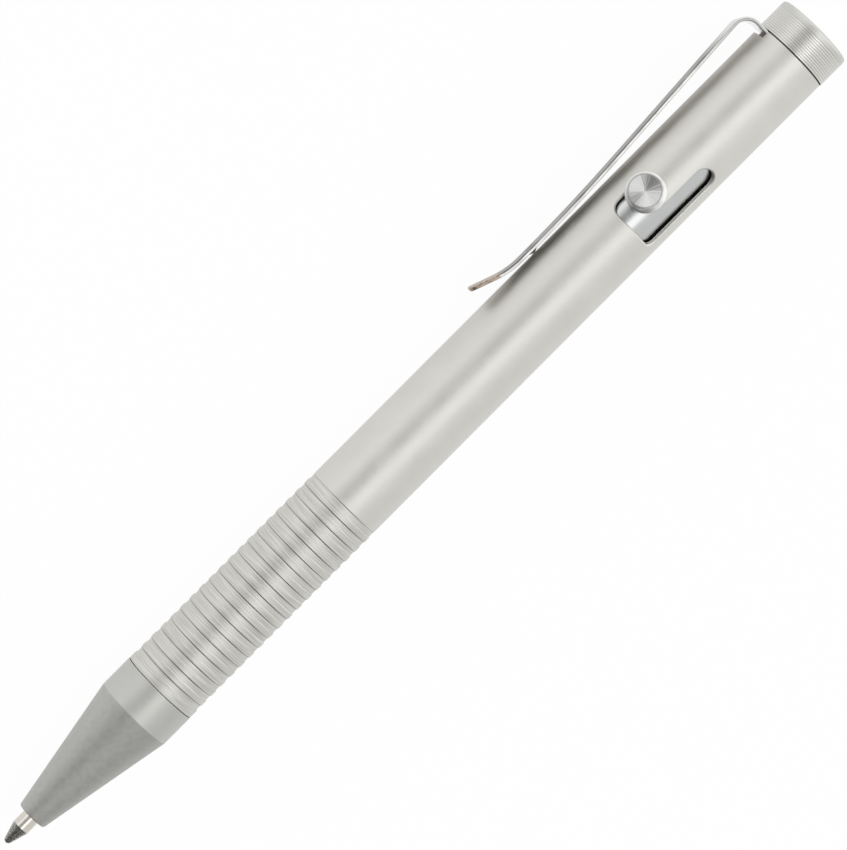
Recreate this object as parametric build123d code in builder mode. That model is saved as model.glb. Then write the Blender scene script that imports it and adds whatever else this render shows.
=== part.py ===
from build123d import *

import math
import os

# Bolt action pen, parked with its point out and lying on its nose band and clip.
# Millimetres. The pen's axis is X, from the flat end of the cap toward the point, and Z is up.
# Angles about the axis are in degrees, counted from Y toward Z.

# Directions about the axis
slot_angle = 71.3
pocket_angle = 123.1
parked_angle = 118.7
clip_angle = 197.8

# Body
body_length = 140.95
cap_head_length = 4.53
cap_spigot_length = 4.00
nose_length = 23.18
nose_band_length = 4.63
nose_spigot_length = 8.80
barrel_diameter = 10.67
barrel_wall = 0.61
nose_band_diameter = 10.90
nose_mouth_diameter = 4.19
nose_mouth_round = 0.22
cap_diameter = 10.84
cap_round = 0.76
cap_wall = 0.75
cap_floor = 4.10
seam_bevel = 0.10

# Grip lands
grip_land_count = 18
grip_pitch = 1.724
grip_land_width = 0.83
grip_land_diameter = 10.78
grip_valley_diameter = 10.56
grip_lead_width = 1.12
grip_lead_diameter = 10.85
grip_lead_valley = 0.90
grip_flank = 0.05

# Bolt slot
slot_width = 3.31
slot_rear = 22.10
slot_front = 34.57
slot_corner = 1.10
pocket_corner = 1.50
tongue_tip = 29.77
tongue_round = 0.72

# Bolt knob and stem
stem_diameter = 2.20
stem_position = 30.03
stem_foot = 0.80
knob_base = 5.62
knob_height = 2.00
flange_diameter = 5.35
flange_height = 0.42
waist_diameter = 4.36
waist_height = 0.95
rim_diameter = 4.60
rim_height = 0.30
dish_diameter = 4.10
dish_depth = 0.42
knob_bevel = 0.08

# Slider
slider_diameter = 8.80
slider_rear = 15.20
slider_front = 41.50
slider_bevel = 0.30
ring_width = 1.50
ring_inset = 1.00
ring_thickness = 0.76

# Clip
clip_width = 6.20
clip_thickness = 0.50
clip_top = 8.20
clip_bend = 2.20
clip_slope = 3.58
clip_run_length = 22.65
clip_settle_radius = 264.0
clip_rest_length = 1.00
clip_lift_radius = 11.60
clip_lift = 19.7
clip_tail_length = 3.55
clip_tail_corner = 1.20
clip_shoulder = 3.55
clip_hook_width = 4.40
clip_hook_height = 2.90
clip_hook_length = 2.65
dimple_setback = 0.90
dimple_radius = 1.50
dent_radius = 0.98
notch_length = 1.15
notch_floor = 2.40
window_length = 0.72

# Refill
refill_rear = 34.71
refill_diameter = 6.00
refill_wall = 0.80
point_reach = 4.76
plug_head_length = 1.50
plug_stub_length = 3.50
plug_vent = 0.80
follower_setback = 27.29
follower_length = 4.00
holder_setback = 12.21
holder_nose_length = 9.50
holder_nose_diameter = 3.60
holder_nose_bevel = 0.40
holder_collar_length = 2.50
holder_stub_length = 6.00
holder_channel = 1.00
point_diameter = 2.41
point_shoulder = 2.79
point_grip_length = 4.00
point_lip_diameter = 0.84
point_channel = 1.20
point_channel_front = 2.60
ball_diameter = 0.70
ball_lip = 0.21
ball_play = 0.01
ball_throat = 0.30

# Inside of the nose cone, from its mouth back
tip_land_length = 3.95
holder_chamber_length = 4.00
holder_chamber_diameter = 4.20
spring_chamber_length = 5.60
spring_chamber_diameter = 5.50

# Return spring
spring_mean_diameter = 4.50
spring_wire = 0.35
spring_turns = 9

# Ring in the nose cone's spigot
oring_section = 0.72
oring_setback = 0.90
oring_groove_width = 0.92

# Clearances
running_gap = 0.045
refill_gap = 0.08
point_gap = 0.075
thread_gap = 0.035
seat_gap = 0.02
notch_gap = 0.06
overrun = 0.60

# Mates
barrel_radius = barrel_diameter / 2
bore_radius = barrel_radius - barrel_wall
barrel_front = body_length - nose_length
cap_radius = cap_diameter / 2
cap_spigot_radius = bore_radius - thread_gap
cap_spigot_front = cap_head_length + cap_spigot_length
nose_spigot_radius = bore_radius - thread_gap
slot_half = slot_width / 2
stem_radius = stem_diameter / 2
tongue_angle = (slot_angle + pocket_angle) / 2
tongue_centre = tongue_tip - tongue_round
stem_offset = barrel_radius * math.sin(math.radians(pocket_angle - parked_angle))
stem_play = math.sqrt((slot_half - stem_radius) ** 2 - stem_offset**2)
pocket_centre = stem_position + stem_play - seat_gap
slot_centre = slot_rear + slot_half
slider_radius = slider_diameter / 2
ring_radius = bore_radius - running_gap
ring_groove_radius = ring_radius - ring_thickness
refill_radius = refill_diameter / 2
refill_bore = refill_radius - refill_wall
refill_front = body_length + point_reach
guide_radius = refill_radius + refill_gap
holder_front = refill_front - holder_setback
collar_front = holder_front - holder_nose_length
collar_rear = collar_front - holder_collar_length
stub_rear = collar_rear - holder_stub_length
point_rear = holder_front - point_grip_length
point_radius = point_diameter / 2
ball_radius = ball_diameter / 2
ball_centre = refill_front - ball_radius
holder_chamber_front = body_length - tip_land_length
spring_chamber_front = holder_chamber_front - holder_chamber_length
collar_chamber_front = spring_chamber_front - spring_chamber_length
leg_rear = cap_head_length + seat_gap
leg_front = leg_rear + clip_thickness
clip_half = clip_width / 2
notch_width = clip_width + notch_gap + notch_gap
axis_point = (0, 0, 0)


def outward(angle):
    """Unit direction that leaves the pen's axis at an angle."""
    return (0, math.cos(math.radians(angle)), math.sin(math.radians(angle)))


def facing(angle):
    """Plane through the axis whose normal leaves the axis at an angle."""
    return Plane(origin=axis_point, x_dir=(1, 0, 0), z_dir=outward(angle))


def lengthwise(angle):
    """Plane through the axis whose second direction leaves the axis at an angle."""
    side = (0, -math.sin(math.radians(angle)), math.cos(math.radians(angle)))
    return Plane(origin=axis_point, x_dir=(1, 0, 0), z_dir=side)


def grip_profile():
    """Outer outline of the barrel over the grip, from the plain part to the nose cone."""
    valley = grip_valley_diameter / 2
    land = grip_land_diameter / 2
    lead = grip_lead_diameter / 2
    first_front = barrel_front - grip_lead_width - grip_lead_valley
    plain_front = first_front - grip_land_count * grip_pitch
    points = [(plain_front - grip_flank, barrel_radius), (plain_front, valley)]
    for number in reversed(range(grip_land_count)):
        front = first_front - number * grip_pitch
        rear = front - grip_land_width
        points += [(rear - grip_flank, valley), (rear, land)]
        points += [(front, land), (front + grip_flank, valley)]
    rear = barrel_front - grip_lead_width
    points += [(rear - grip_flank, valley), (rear, lead)]
    points += [(barrel_front - seam_bevel, lead), (barrel_front, lead - seam_bevel)]
    return points


os.makedirs("parts", exist_ok=True)

# Crosswise run of the bolt slot, with the tongue's rounded tip left standing
with BuildPart() as slot_crossing:
    with BuildSketch(lengthwise(slot_angle)):
        with BuildLine():
            Polyline(
                (tongue_centre, bore_radius - overrun),
                (slot_front, bore_radius - overrun),
                (slot_front, barrel_radius + overrun),
                (tongue_centre, barrel_radius + overrun),
                close=True,
            )
        make_face()
    revolve(axis=Axis.X, revolution_arc=pocket_angle - slot_angle)
    with BuildSketch(facing(tongue_angle)):
        with BuildLine():
            CenterArc((tongue_centre, 0), tongue_round, 0, 360)
        make_face()
    extrude(amount=barrel_radius + overrun + overrun, mode=Mode.SUBTRACT)

with BuildPart() as barrel:
    with BuildSketch(Plane.XY):
        with BuildLine():
            Polyline(
                (cap_head_length, bore_radius),
                (cap_head_length, barrel_radius - seam_bevel),
                (cap_head_length + seam_bevel, barrel_radius),
                *grip_profile(),
                (barrel_front, bore_radius),
                close=True,
            )
        make_face()
    revolve(axis=Axis.X)
    # Long run of the slot, in which the point is drawn back
    with BuildSketch(facing(slot_angle)) as long_run:
        with BuildLine():
            Polyline(
                (slot_centre, -slot_half),
                (slot_front, -slot_half),
                (slot_front, slot_half),
                (slot_centre, slot_half),
            )
            ThreePointArc((slot_centre, slot_half), (slot_rear, 0), (slot_centre, -slot_half))
        make_face()
        fillet(long_run.vertices().group_by(Axis.X)[-1].sort_by(Axis.Y)[-1], slot_corner)
    extrude(amount=barrel_radius + overrun, mode=Mode.SUBTRACT)
    # Parking pocket, in which the point is held out
    with BuildSketch(facing(pocket_angle)) as pocket:
        with BuildLine():
            Polyline(
                (pocket_centre, -slot_half),
                (slot_front, -slot_half),
                (slot_front, slot_half),
                (pocket_centre, slot_half),
            )
            ThreePointArc(
                (pocket_centre, slot_half),
                (pocket_centre - slot_half, 0),
                (pocket_centre, -slot_half),
            )
        make_face()
        fillet(pocket.vertices().group_by(Axis.X)[-1].sort_by(Axis.Y)[0], pocket_corner)
    extrude(amount=barrel_radius + overrun, mode=Mode.SUBTRACT)
    add(slot_crossing.part, mode=Mode.SUBTRACT)
    # Notch for the clip's leg
    with BuildSketch(lengthwise(clip_angle)):
        with BuildLine():
            Polyline(
                (cap_head_length - overrun, notch_floor),
                (cap_head_length + notch_length, notch_floor),
                (cap_head_length + notch_length, barrel_radius + overrun),
                (cap_head_length - overrun, barrel_radius + overrun),
                close=True,
            )
        make_face()
    extrude(amount=notch_width / 2, both=True, mode=Mode.SUBTRACT)
barrel.part.label = "barrel"
export_step(barrel.part, "parts/barrel.step")

with BuildPart() as nose_cone:
    band_radius = nose_band_diameter / 2
    groove_front = barrel_front - oring_setback
    groove_rear = groove_front - oring_groove_width
    groove_radius = nose_spigot_radius - oring_section
    with BuildSketch(Plane.XY):
        with BuildLine():
            Polyline(
                (barrel_front - nose_spigot_length, guide_radius),
                (barrel_front - nose_spigot_length, nose_spigot_radius),
                (groove_rear, nose_spigot_radius),
                (groove_rear, groove_radius),
                (groove_front, groove_radius),
                (groove_front, nose_spigot_radius),
                (barrel_front, nose_spigot_radius),
                (barrel_front, band_radius - seam_bevel),
                (barrel_front + seam_bevel, band_radius),
                (barrel_front + nose_band_length, band_radius),
                (body_length, nose_mouth_diameter / 2),
                (body_length, point_radius + point_gap),
                (holder_chamber_front, point_radius + point_gap),
                (holder_chamber_front, holder_chamber_diameter / 2),
                (spring_chamber_front, holder_chamber_diameter / 2),
                (spring_chamber_front, spring_chamber_diameter / 2),
                (collar_chamber_front, spring_chamber_diameter / 2),
                (collar_chamber_front, guide_radius),
                close=True,
            )
        make_face()
    revolve(axis=Axis.X)
    mouth = nose_cone.edges().filter_by(GeomType.CIRCLE).group_by(Axis.X)[-1]
    fillet(mouth.sort_by(SortBy.RADIUS)[-1], nose_mouth_round)
nose_cone.part.label = "nose_cone"
export_step(nose_cone.part, "parts/nose_cone.step")

with BuildPart() as nose_oring:
    oring_radius = oring_section / 2
    oring_centre = groove_front - oring_groove_width / 2
    with BuildSketch(Plane.XY):
        with BuildLine():
            CenterArc((oring_centre, groove_radius + oring_radius), oring_radius, 0, 360)
        make_face()
    revolve(axis=Axis.X)
nose_oring.part.label = "nose_oring"
export_step(nose_oring.part, "parts/nose_oring.step")

with BuildPart() as end_cap:
    with BuildSketch(Plane.XY):
        with BuildLine():
            Polyline(
                (0, 0),
                (0, cap_radius),
                (cap_head_length - seam_bevel, cap_radius),
                (cap_head_length, cap_radius - seam_bevel),
                (cap_head_length, cap_spigot_radius),
                (cap_spigot_front, cap_spigot_radius),
                (cap_spigot_front, cap_spigot_radius - cap_wall),
                (cap_floor, cap_spigot_radius - cap_wall),
                (cap_floor, 0),
                close=True,
            )
        make_face()
    revolve(axis=Axis.X)
    fillet(end_cap.edges().filter_by(GeomType.CIRCLE).group_by(Axis.X)[0], cap_round)
    # Window through which the clip's leg reaches into the spigot
    with BuildSketch(lengthwise(clip_angle)):
        with BuildLine():
            Polyline(
                (cap_head_length, 0),
                (cap_head_length + window_length, 0),
                (cap_head_length + window_length, bore_radius),
                (cap_head_length, bore_radius),
                close=True,
            )
        make_face()
    extrude(amount=notch_width / 2, both=True, mode=Mode.SUBTRACT)
end_cap.part.label = "end_cap"
export_step(end_cap.part, "parts/end_cap.step")

with BuildPart() as pocket_clip:
    # Leg, bend, sprung run, rest and lifted tail, traced along the outer face
    with BuildSketch(lengthwise(clip_angle)):
        with BuildLine():
            leg = Line((leg_rear, clip_shoulder), (leg_rear, clip_top - clip_bend))
            bend = JernArc(leg @ 1, leg % 1, clip_bend, -clip_slope - 90)
            run = PolarLine(bend @ 1, clip_run_length, direction=bend % 1)
            settle = JernArc(run @ 1, run % 1, clip_settle_radius, clip_slope)
            rest = PolarLine(settle @ 1, clip_rest_length, direction=settle % 1)
            lift = JernArc(rest @ 1, rest % 1, clip_lift_radius, clip_lift)
            PolarLine(lift @ 1, clip_tail_length, direction=lift % 1)
            offset(amount=clip_thickness, side=Side.RIGHT, closed=True)
        make_face()
    extrude(amount=clip_half, both=True)
    short_edges = pocket_clip.edges().filter_by(lambda edge: abs(edge.length - clip_thickness) < seat_gap)
    fillet(short_edges.sort_by(Axis.X)[-2:], clip_tail_corner)
    # Hook that keeps the leg inside the cap's spigot
    with BuildSketch(lengthwise(clip_angle)):
        with BuildLine():
            Polyline(
                (leg_rear, clip_shoulder),
                (leg_rear, notch_floor),
                (leg_rear + clip_hook_length, notch_floor),
                (leg_rear + clip_hook_length, clip_hook_height),
                (leg_front, clip_hook_height),
                (leg_front, clip_shoulder),
                close=True,
            )
        make_face()
    extrude(amount=clip_hook_width / 2, both=True)
    # Pressed dimple that bears on the barrel, and the dent behind it
    dimple_position = (rest @ 0).X - dimple_setback
    dimple_axis = Axis((dimple_position, 0, 0), outward(clip_angle))
    dimple_centre = barrel_radius + seat_gap + dimple_radius
    dimple_root = (rest @ 0).Y - clip_thickness / 2
    root_angle = math.degrees(math.asin((dimple_centre - dimple_root) / dimple_radius))
    with BuildSketch(lengthwise(clip_angle)):
        with BuildLine():
            dimple_point = (dimple_position, dimple_centre)
            dome = CenterArc(dimple_point, dimple_radius, 180 + root_angle, 90 - root_angle)
            Polyline(dome @ 1, (dimple_position, dimple_root), dome @ 0)
        make_face()
    revolve(axis=dimple_axis)
    with BuildSketch(lengthwise(clip_angle)):
        with BuildLine():
            hollow = CenterArc(dimple_point, dent_radius, 180, 90)
            Polyline(hollow @ 1, dimple_point, hollow @ 0)
        make_face()
    revolve(axis=dimple_axis, mode=Mode.SUBTRACT)
pocket_clip.part.label = "pocket_clip"
export_step(pocket_clip.part, "parts/pocket_clip.step")

with BuildPart() as bolt_slider:
    rear_groove = slider_rear + ring_inset
    front_groove = slider_front - ring_inset - ring_width
    with BuildSketch(Plane.XY):
        with BuildLine():
            Polyline(
                (slider_rear, 0),
                (slider_rear, slider_radius - slider_bevel),
                (slider_rear + slider_bevel, slider_radius),
                (rear_groove, slider_radius),
                (rear_groove, ring_groove_radius),
                (rear_groove + ring_width, ring_groove_radius),
                (rear_groove + ring_width, slider_radius),
                (front_groove, slider_radius),
                (front_groove, ring_groove_radius),
                (front_groove + ring_width, ring_groove_radius),
                (front_groove + ring_width, slider_radius),
                (slider_front - slider_bevel, slider_radius),
                (slider_front, slider_radius - slider_bevel),
                (slider_front, guide_radius),
                (refill_rear, guide_radius),
                (refill_rear, 0),
                close=True,
            )
        make_face()
    revolve(axis=Axis.X)
    # Socket for the knob's stem
    with BuildSketch(facing(parked_angle).offset(stem_foot)):
        with BuildLine():
            CenterArc((stem_position, 0), stem_radius + seat_gap, 0, 360)
        make_face()
    extrude(amount=slider_radius, mode=Mode.SUBTRACT)
bolt_slider.part.label = "bolt_slider"
export_step(bolt_slider.part, "parts/bolt_slider.step")

for ring_name, ring_rear in (("slider_ring_rear", rear_groove), ("slider_ring_front", front_groove)):
    with BuildPart() as slider_ring:
        with BuildSketch(Plane.XY):
            with BuildLine():
                Polyline(
                    (ring_rear + seat_gap, ring_groove_radius + seat_gap),
                    (ring_rear + seat_gap, ring_radius),
                    (ring_rear + ring_width - seat_gap, ring_radius),
                    (ring_rear + ring_width - seat_gap, ring_groove_radius + seat_gap),
                    close=True,
                )
            make_face()
        revolve(axis=Axis.X)
    slider_ring.part.label = ring_name
    export_step(slider_ring.part, f"parts/{ring_name}.step")

with BuildPart() as bolt_knob:
    knob_top = knob_base + knob_height
    flange_radius = flange_diameter / 2
    rim_radius = rim_diameter / 2
    with BuildSketch(lengthwise(parked_angle)):
        with BuildLine():
            Polyline(
                (stem_position + rim_radius, knob_top - rim_height),
                (stem_position + rim_radius, knob_top - knob_bevel),
                (stem_position + rim_radius - knob_bevel, knob_top),
                (stem_position + dish_diameter / 2, knob_top),
                (stem_position, knob_top - dish_depth),
                (stem_position, stem_foot),
                (stem_position + stem_radius, stem_foot),
                (stem_position + stem_radius, knob_base),
                (stem_position + flange_radius - knob_bevel, knob_base),
                (stem_position + flange_radius, knob_base + knob_bevel),
                (stem_position + flange_radius, knob_base + flange_height),
            )
            ThreePointArc(
                (stem_position + flange_radius, knob_base + flange_height),
                (stem_position + waist_diameter / 2, knob_base + waist_height),
                (stem_position + rim_radius, knob_top - rim_height),
            )
        make_face()
    revolve(axis=Axis((stem_position, 0, 0), outward(parked_angle)))
bolt_knob.part.label = "bolt_knob"
export_step(bolt_knob.part, "parts/bolt_knob.step")

with BuildPart() as return_spring:
    spring_height = spring_chamber_front - collar_front - spring_wire
    with BuildLine() as coil:
        Helix(
            spring_height / spring_turns,
            spring_height,
            spring_mean_diameter / 2,
            center=(collar_front + spring_wire / 2, 0, 0),
            direction=(1, 0, 0),
        )
    with BuildSketch(Plane(origin=coil.line @ 0, z_dir=coil.line % 0)):
        with BuildLine():
            CenterArc(axis_point, spring_wire / 2, 0, 360)
        make_face()
    sweep(path=coil.line, is_frenet=True)
return_spring.part.label = "return_spring"
export_step(return_spring.part, "parts/return_spring.step")

with BuildPart() as refill_plug:
    plug_front = refill_rear + plug_head_length
    with BuildSketch(Plane.XY):
        with BuildLine():
            Polyline(
                (refill_rear, plug_vent / 2),
                (refill_rear, refill_radius),
                (plug_front, refill_radius),
                (plug_front, refill_bore - seat_gap),
                (plug_front + plug_stub_length, refill_bore - seat_gap),
                (plug_front + plug_stub_length, plug_vent / 2),
                close=True,
            )
        make_face()
    revolve(axis=Axis.X)
refill_plug.part.label = "refill_plug"
export_step(refill_plug.part, "parts/refill_plug.step")

with BuildPart() as refill_tube:
    with BuildSketch(Plane.XY):
        with BuildLine():
            Polyline(
                (plug_front, refill_bore),
                (plug_front, refill_radius),
                (collar_rear, refill_radius),
                (collar_rear, refill_bore),
                close=True,
            )
        make_face()
    revolve(axis=Axis.X)
refill_tube.part.label = "refill_tube"
export_step(refill_tube.part, "parts/refill_tube.step")

follower_rear = refill_rear + follower_setback
follower_front = follower_rear + follower_length
for fill_name, fill_rear, fill_front in (
    ("refill_follower", follower_rear, follower_front),
    ("refill_ink", follower_front, stub_rear),
):
    with BuildPart() as filling:
        with BuildSketch(Plane.XY):
            with BuildLine():
                Polyline(
                    (fill_rear, 0),
                    (fill_rear, refill_bore - seat_gap),
                    (fill_front, refill_bore - seat_gap),
                    (fill_front, 0),
                    close=True,
                )
            make_face()
        revolve(axis=Axis.X)
    filling.part.label = fill_name
    export_step(filling.part, f"parts/{fill_name}.step")

with BuildPart() as refill_tip_holder:
    holder_nose_radius = holder_nose_diameter / 2
    with BuildSketch(Plane.XY):
        with BuildLine():
            Polyline(
                (stub_rear, holder_channel / 2),
                (stub_rear, refill_bore - seat_gap),
                (collar_rear, refill_bore - seat_gap),
                (collar_rear, refill_radius),
                (collar_front, refill_radius),
                (collar_front, holder_nose_radius),
                (holder_front - holder_nose_bevel, holder_nose_radius),
                (holder_front, holder_nose_radius - holder_nose_bevel),
                (holder_front, point_radius),
                (point_rear, point_radius),
                (point_rear, holder_channel / 2),
                close=True,
            )
        make_face()
    revolve(axis=Axis.X)
refill_tip_holder.part.label = "refill_tip_holder"
export_step(refill_tip_holder.part, "parts/refill_tip_holder.step")

with BuildPart() as refill_point:
    lip_front = refill_front - ball_lip
    channel_front = refill_front - point_channel_front
    socket_radius = ball_radius + ball_play
    lip_opening = math.sqrt(socket_radius**2 - (lip_front - ball_centre) ** 2)
    throat_reach = math.sqrt(socket_radius**2 - (ball_throat / 2) ** 2)
    with BuildSketch(Plane.XY):
        with BuildLine():
            Polyline(
                (ball_centre - throat_reach, ball_throat / 2),
                (channel_front, ball_throat / 2),
                (channel_front, point_channel / 2),
                (point_rear, point_channel / 2),
                (point_rear, point_radius - seat_gap),
                (holder_front, point_radius - seat_gap),
                (holder_front, point_radius),
                (refill_front - point_shoulder, point_radius),
                (lip_front, point_lip_diameter / 2),
                (lip_front, lip_opening),
            )
            ThreePointArc(
                (lip_front, lip_opening),
                (ball_centre, socket_radius),
                (ball_centre - throat_reach, ball_throat / 2),
            )
        make_face()
    revolve(axis=Axis.X)
refill_point.part.label = "refill_point"
export_step(refill_point.part, "parts/refill_point.step")

with BuildPart() as refill_ball:
    with BuildSketch(Plane.XY):
        with BuildLine():
            CenterArc((ball_centre, 0), ball_radius, 0, 180)
            Line((ball_centre - ball_radius, 0), (ball_centre + ball_radius, 0))
        make_face()
    revolve(axis=Axis.X)
refill_ball.part.label = "refill_ball"
export_step(refill_ball.part, "parts/refill_ball.step")
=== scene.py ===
import math

import bmesh
import bpy
from mathutils import Matrix, Vector, geometry


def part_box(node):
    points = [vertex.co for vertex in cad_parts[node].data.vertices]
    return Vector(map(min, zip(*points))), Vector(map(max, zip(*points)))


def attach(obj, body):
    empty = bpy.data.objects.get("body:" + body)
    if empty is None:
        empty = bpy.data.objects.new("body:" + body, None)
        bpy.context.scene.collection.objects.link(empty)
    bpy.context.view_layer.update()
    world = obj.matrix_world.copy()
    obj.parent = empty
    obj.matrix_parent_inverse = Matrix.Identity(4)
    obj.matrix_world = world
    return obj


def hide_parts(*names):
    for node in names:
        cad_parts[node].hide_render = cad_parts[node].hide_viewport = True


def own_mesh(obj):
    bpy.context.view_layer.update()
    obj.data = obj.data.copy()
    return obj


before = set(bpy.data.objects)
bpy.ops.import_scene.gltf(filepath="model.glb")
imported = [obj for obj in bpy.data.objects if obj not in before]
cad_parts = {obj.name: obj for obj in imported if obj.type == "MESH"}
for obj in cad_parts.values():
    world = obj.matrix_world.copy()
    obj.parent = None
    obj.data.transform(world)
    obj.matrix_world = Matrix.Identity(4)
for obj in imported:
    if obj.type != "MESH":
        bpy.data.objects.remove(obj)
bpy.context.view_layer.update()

# Lengths are millimetres until a mesh is made. Angles are degrees about the pen's axis,
# from Y toward Z
MM = 0.001
TINY = 1e-6
MERGE_DISTANCE = 0.0005
AXIS = Vector((1, 0, 0))
STATIONS = 192

CLIP_ANGLE = 197.8
SLOT_ANGLE = 71.3
POCKET_ANGLE = 123.1
TONGUE_ANGLE = 97.2
PARKED_ANGLE = 118.7
VIEW_ANGLE = 111.8

BARREL_RADIUS = 5.335
BORE_RADIUS = 4.725
SPIGOT_RADIUS = 4.69
SEAM_RADIUS = 5.00
CAP_RADIUS = 5.42
NOSE_RADIUS = 5.45
CAP_FRONT = 4.46
BARREL_REAR = 4.53
BARREL_FRONT = 117.77
NOSE_REAR = 117.87
STEM = Vector((30.03, 0, 0))

# A rounding takes at most this share of the shorter run beside it. Points close beside
# each rounding keep the runs between roundings flat in smooth shading
LARGEST_SHARE = 0.46
MARGIN = 0.03
MARGIN_SHARE = 0.04


def outward(angle):
    """Unit direction that leaves the pen's axis at an angle."""
    return Vector((0, math.cos(math.radians(angle)), math.sin(math.radians(angle))))


def around(x, radius, angle):
    """Point at a radius and an angle about the pen's axis."""
    return Vector((x, 0, 0)) + outward(angle) * radius


def new_piece(name, points, faces, body, replaced, sharp=32.0):
    """Makes a mesh piece from points, shades it and binds it to its body."""
    mesh = bpy.data.meshes.new(name)
    mesh.from_pydata([tuple(p * MM) for p in points], [], faces)
    built = bmesh.new()
    built.from_mesh(mesh)
    bmesh.ops.remove_doubles(built, verts=built.verts, dist=MERGE_DISTANCE * MM)
    bmesh.ops.recalc_face_normals(built, faces=built.faces)
    for face in built.faces:
        face.smooth = True
    built.to_mesh(mesh)
    built.free()
    mesh.set_sharp_from_angle(angle=math.radians(sharp))
    piece = bpy.data.objects.new(name, mesh)
    bpy.context.scene.collection.objects.link(piece)
    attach(piece, body)
    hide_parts(replaced)
    return piece


def rounded(corners, steps=5):
    """Outline with each (x, r, rounding) corner turned into an arc with a point beside each end."""
    outline = []
    for number, corner in enumerate(corners):
        here = Vector(corner[:2])
        rounding = corner[2] if len(corner) > 2 else 0
        if not rounding:
            outline.append(here)
            continue
        before = Vector(corners[number - 1][:2]) - here
        after = Vector(corners[(number + 1) % len(corners)][:2]) - here
        half = before.angle(after) / 2
        longest = LARGEST_SHARE * min(before.length, after.length)
        reach = min(rounding / math.tan(half), longest)
        radius = reach * math.tan(half)
        middle = (before.normalized() + after.normalized()).normalized()
        centre = here + middle * (radius / math.sin(half))
        first = here + before.normalized() * reach
        last = here + after.normalized() * reach
        margin = min(MARGIN, MARGIN_SHARE * before.length)
        outline.append(first + before.normalized() * margin)
        start = (first - centre).normalized()
        sweep = start.angle_signed((last - centre).normalized())
        for step in range(steps + 1):
            turned_start = start.copy()
            turned_start.rotate(Matrix.Rotation(-sweep * step / steps, 2))
            outline.append(centre + turned_start * radius)
        margin = min(MARGIN, MARGIN_SHARE * after.length)
        outline.append(last + after.normalized() * margin)
    return outline


def turned(
    name,
    corners,
    body,
    replaced,
    stations=STATIONS,
    origin=(0, 0, 0),
    axis=None,
    closed=True,
):
    """Piece turned about the pen's axis, or about another axis, from its outline."""
    along = AXIS if axis is None else Vector(axis)
    side = outward(0) if axis is None else AXIS
    up = along.cross(side)
    points = []
    rows = []
    for place, radius in rounded(corners):
        base = Vector(origin) + along * place
        if radius < TINY:
            rows.append([len(points)] * stations)
            points.append(base)
            continue
        rows.append(list(range(len(points), len(points) + stations)))
        for station in range(stations):
            turn = 2 * math.pi * station / stations
            points.append(base + (side * math.cos(turn) + up * math.sin(turn)) * radius)
    pairs = list(zip(rows, rows[1:]))
    if closed:
        pairs.append((rows[-1], rows[0]))
    faces = []
    for first, second in pairs:
        for station in range(stations):
            following = (station + 1) % stations
            ring = [first[station], first[following], second[following], second[station]]
            ring = list(dict.fromkeys(ring))
            if len(ring) > 2:
                faces.append(ring)
    return new_piece(name, points, faces, body, replaced)


# Camera, from the fit of the pen's outline in the photograph, whose long side is 850 pixels
photo_side = 850
focal_pixels = 4865
aim_offset_pixels = 61.6
camera_distance = 618.0
camera_station = 62.71
camera_sideways = 0.164
sensor = 36
pen_slope = Vector((0.70446, -0.70974)) + Vector((0.70974, 0.70446)) * 0.0024

toward = outward(VIEW_ANGLE)
lower_right = outward(VIEW_ANGLE - 90)
lead = math.atan(aim_offset_pixels / focal_pixels)
forward = -toward * math.cos(lead) + AXIS * math.sin(lead)
rearward = -(AXIS * math.cos(lead) + toward * math.sin(lead))
along_image = pen_slope.normalized()
across_image = Vector((-along_image.y, along_image.x))
right = rearward * along_image.x + lower_right * across_image.x
down = rearward * along_image.y + lower_right * across_image.y
lens = bpy.data.cameras.new("camera")
lens.sensor_fit = "AUTO"
lens.sensor_width = sensor
lens.lens = sensor * focal_pixels / photo_side
lens.clip_start = 0.05
lens.clip_end = 20
camera = bpy.data.objects.new("camera", lens)
bpy.context.scene.collection.objects.link(camera)
place = AXIS * camera_station + toward * camera_distance + lower_right * camera_sideways
turn = Matrix((right, -down, -forward)).transposed().to_4x4()
camera.matrix_world = Matrix.Translation(place * MM) @ turn
bpy.context.scene.camera = camera


# Nose cone
cone_rear = 122.52
turned(
    "turned_nose_cone",
    [
        (108.97, 3.08),
        (108.97, SPIGOT_RADIUS, 0.20),
        (115.95, SPIGOT_RADIUS),
        (115.95, 3.97),
        (116.87, 3.97),
        (116.87, SPIGOT_RADIUS),
        (BARREL_FRONT, SPIGOT_RADIUS),
        (BARREL_FRONT, SEAM_RADIUS),
        (NOSE_REAR, SEAM_RADIUS),
        (NOSE_REAR, NOSE_RADIUS, 0.06),
        (cone_rear, NOSE_RADIUS, 0.25),
        (140.95, 2.095, 0.24),
        (140.95, 1.28, 0.08),
        (137.00, 1.28),
        (137.00, 2.10),
        (133.00, 2.10),
        (133.00, 2.75),
        (127.40, 2.75),
        (127.40, 3.08),
    ],
    "pen",
    "nose_cone",
)

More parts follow.
